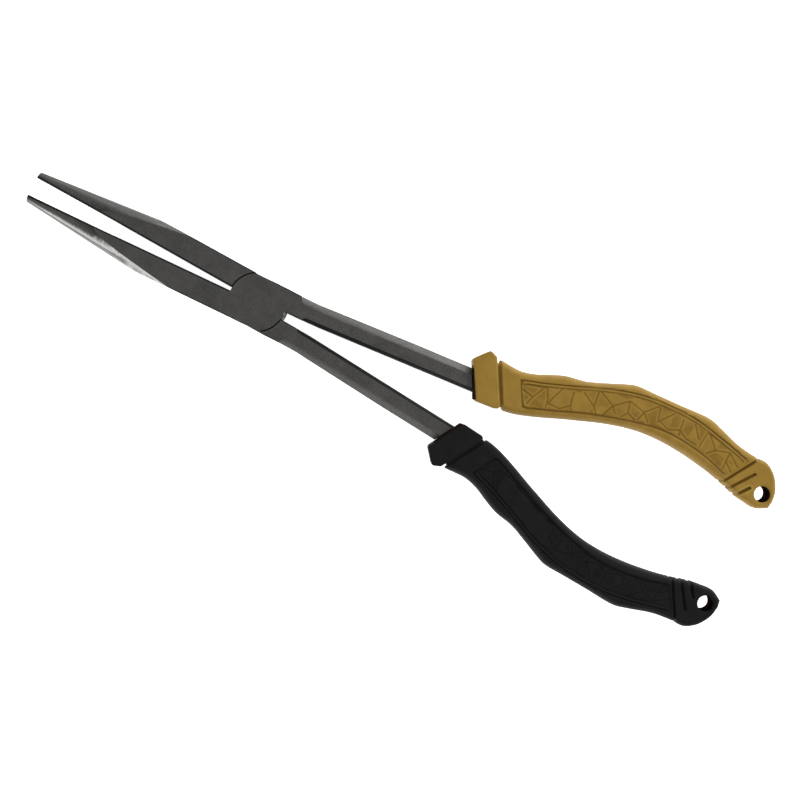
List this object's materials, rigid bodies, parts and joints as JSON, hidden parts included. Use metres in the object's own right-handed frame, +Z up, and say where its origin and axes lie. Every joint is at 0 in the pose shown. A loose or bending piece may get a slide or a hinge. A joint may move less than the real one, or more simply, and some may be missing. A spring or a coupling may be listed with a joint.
{
  "type": "long-nose fishing pliers",
  "caption": "Long-nose fishing pliers: two lapped steel levers on a flush rivet, long tapered jaws, curved soft-skinned handles with guard collars and lanyard holes.",
  "frame": {"origin": "on the pivot axis, in the flat underside of the joint, at the rivet's flush rear end", "axes": "+X towards the jaw tips along the line midway between the levers, +Y towards the jaw of the front lever, +Z up out of the joint's top face"},
  "size_m": [0.2788, 0.0732, 0.015],
  "materials": {
    "coated_steel": "dark grey satin coating with fine mottle, brushed where the nose is ground",
    "rivet_steel": "ground flush and coated with the levers",
    "core_plastic": "hard black moulding",
    "black_skin": "soft matte black moulding",
    "gold_skin": "soft matte mustard gold moulding"
  },
  "bodies": {
    "rear_side": {"rear_lever": "coated_steel", "pivot_rivet": "rivet_steel", "rear_grip_core": "core_plastic", "rear_collar": "black_skin", "rear_grip": "black_skin"},
    "front_side": {"front_lever": "coated_steel", "front_grip_core": "core_plastic", "front_collar": "gold_skin", "front_grip": "gold_skin"}
  },
  "joints": [
    {"name": "pivot", "type": "hinge", "parent": "rear_side", "child": "front_side", "pos_m": [0, 0, 0.006], "axis": [0, 0, 1], "range_deg": [-4.2, 53.8]}
  ]
}
